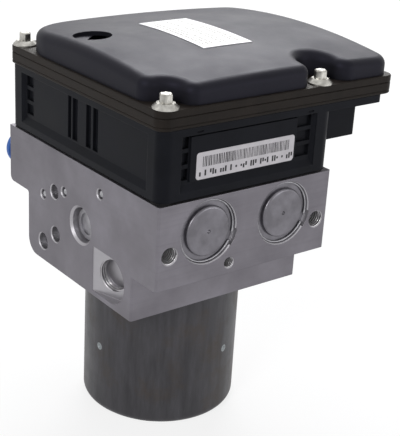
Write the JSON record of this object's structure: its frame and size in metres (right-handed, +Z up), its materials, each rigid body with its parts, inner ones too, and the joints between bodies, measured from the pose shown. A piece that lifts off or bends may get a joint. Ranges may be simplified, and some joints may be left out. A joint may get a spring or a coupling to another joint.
{
  "type": "abs brake module",
  "caption": "Anti-lock brake hydraulic unit: milled aluminium valve block on an upright pump motor, with a boxed control unit, flanged connector and domed cover on top.",
  "frame": {"origin": "on the pump motor's axis, in the plane of the motor's closed end", "axes": "+Z up along the motor axis to the cover; +X to the right along the accumulator face, towards the connector flange; +Y from the accumulator face to the port face"},
  "size_m": [0.1384, 0.1422, 0.1912],
  "materials": {
    "cast_block": "milled, bare",
    "motor_steel": "dark coated deep-drawn steel",
    "zinc_steel": "bright zinc",
    "bearing_steel": "ground",
    "laminations": "stacked sheet",
    "ferrite": "sintered",
    "copper": "enamelled and bare copper",
    "carbon": "pressed carbon",
    "housing_plastic": "moulded, fine grain",
    "band_plastic": "moulded, brown-black",
    "cover_plastic": "moulded, satin",
    "natural_plastic": "moulded",
    "black_rubber": "moulded",
    "blue_plastic": "moulded",
    "board": "solder resist",
    "chip_black": "moulded",
    "tin": "tinned",
    "label_film": "printed film"
  },
  "bodies": {
    "unit": {"motor_can": "motor_steel", "motor_magnets": "ferrite", "foot_bearing": "bearing_steel", "head_bearing": "bearing_steel", "brush_plate": "natural_plastic", "brushes": "carbon", "end_shield": "zinc_steel", "motor_bolts": "zinc_steel", "motor_leads": "tin", "shaft_seal": "black_rubber", "hydraulic_block": "cast_block", "ball_plugs": "bearing_steel", "transit_plug": "blue_plastic", "pump_plugs": "zinc_steel", "pump_sleeves": "bearing_steel", "pump_spring_1": "zinc_steel", "pump_spring_2": "zinc_steel", "accumulator_caps": "cast_block", "retaining_rings": "zinc_steel", "accumulator_spring_1": "zinc_steel", "accumulator_spring_2": "zinc_steel", "inlet_valves": "zinc_steel", "outlet_valves": "zinc_steel", "inlet_coils": "copper", "outlet_coils": "copper", "housing_gasket": "black_rubber", "ecu_housing": "housing_plastic", "connector_pins": "tin", "carrier_frame": "band_plastic", "circuit_board": "board", "processor": "chip_black", "driver_chips": "chip_black", "capacitors": "tin", "cover_frame": "band_plastic", "ecu_cover": "cover_plastic", "ecu_screws": "zinc_steel", "front_label": "label_film", "top_label": "label_film"},
    "rotor": {"motor_shaft": "bearing_steel", "armature_core": "laminations", "armature_winding": "copper", "commutator": "copper"},
    "cam_ring": {"eccentric_ring": "bearing_steel"},
    "plunger_1": {"pump_plunger_1": "bearing_steel"},
    "plunger_2": {"pump_plunger_2": "bearing_steel"},
    "piston_1": {"accumulator_piston_1": "cast_block", "accumulator_seal_1": "black_rubber"},
    "piston_2": {"accumulator_piston_2": "cast_block", "accumulator_seal_2": "black_rubber"},
    "armature_1": {"valve_armature_1": "zinc_steel"},
    "armature_2": {"valve_armature_2": "zinc_steel"},
    "armature_3": {"valve_armature_3": "zinc_steel"},
    "armature_4": {"valve_armature_4": "zinc_steel"},
    "armature_5": {"valve_armature_5": "zinc_steel"},
    "armature_6": {"valve_armature_6": "zinc_steel"},
    "armature_7": {"valve_armature_7": "zinc_steel"},
    "armature_8": {"valve_armature_8": "zinc_steel"}
  },
  "joints": [
    {"name": "rotor_spin", "type": "hinge", "parent": "unit", "child": "rotor", "pos_m": [0, 0, 0.1], "axis": [0, 0, 1], "continuous": true},
    {"name": "cam_ring_spin", "type": "hinge", "parent": "rotor", "child": "cam_ring", "pos_m": [0, 0.001, 0.103], "axis": [0, 0, 1], "continuous": true},
    {"name": "plunger_1_stroke", "type": "slide", "parent": "unit", "child": "plunger_1", "axis": [-1, 0, 0], "range_m": [0, 0.001], "stiffness_N_per_m": 500, "springref_m": -0.002, "deforming": ["pump_spring_1"]},
    {"name": "plunger_2_stroke", "type": "slide", "parent": "unit", "child": "plunger_2", "axis": [1, 0, 0], "range_m": [0, 0.001], "stiffness_N_per_m": 500, "springref_m": -0.002, "deforming": ["pump_spring_2"]},
    {"name": "piston_1_stroke", "type": "slide", "parent": "unit", "child": "piston_1", "axis": [0, -1, 0], "range_m": [0, 0.01], "stiffness_N_per_m": 4000, "springref_m": -0.01, "deforming": ["accumulator_spring_1"]},
    {"name": "piston_2_stroke", "type": "slide", "parent": "unit", "child": "piston_2", "axis": [0, -1, 0], "range_m": [0, 0.01], "stiffness_N_per_m": 4000, "springref_m": -0.01, "deforming": ["accumulator_spring_2"]},
    {"name": "valve_1_lift", "type": "slide", "parent": "unit", "child": "armature_1", "axis": [0, 0, -1], "range_m": [0, 0.0003], "stiffness_N_per_m": 2000, "springref_m": -0.001},
    {"name": "valve_2_lift", "type": "slide", "parent": "unit", "child": "armature_2", "axis": [0, 0, -1], "range_m": [0, 0.0003], "stiffness_N_per_m": 2000, "springref_m": -0.001},
    {"name": "valve_3_lift", "type": "slide", "parent": "unit", "child": "armature_3", "axis": [0, 0, -1], "range_m": [0, 0.0003], "stiffness_N_per_m": 2000, "springref_m": -0.001},
    {"name": "valve_4_lift", "type": "slide", "parent": "unit", "child": "armature_4", "axis": [0, 0, -1], "range_m": [0, 0.0003], "stiffness_N_per_m": 2000, "springref_m": -0.001},
    {"name": "valve_5_lift", "type": "slide", "parent": "unit", "child": "armature_5", "axis": [0, 0, 1], "range_m": [0, 0.0003], "stiffness_N_per_m": 2000, "springref_m": -0.001},
    {"name": "valve_6_lift", "type": "slide", "parent": "unit", "child": "armature_6", "axis": [0, 0, 1], "range_m": [0, 0.0003], "stiffness_N_per_m": 2000, "springref_m": -0.001},
    {"name": "valve_7_lift", "type": "slide", "parent": "unit", "child": "armature_7", "axis": [0, 0, 1], "range_m": [0, 0.0003], "stiffness_N_per_m": 2000, "springref_m": -0.001},
    {"name": "valve_8_lift", "type": "slide", "parent": "unit", "child": "armature_8", "axis": [0, 0, 1], "range_m": [0, 0.0003], "stiffness_N_per_m": 2000, "springref_m": -0.001}
  ],
  "couplings": [
    {"joint": "cam_ring_spin", "follows": "rotor_spin", "ratio": -1}
  ]
}
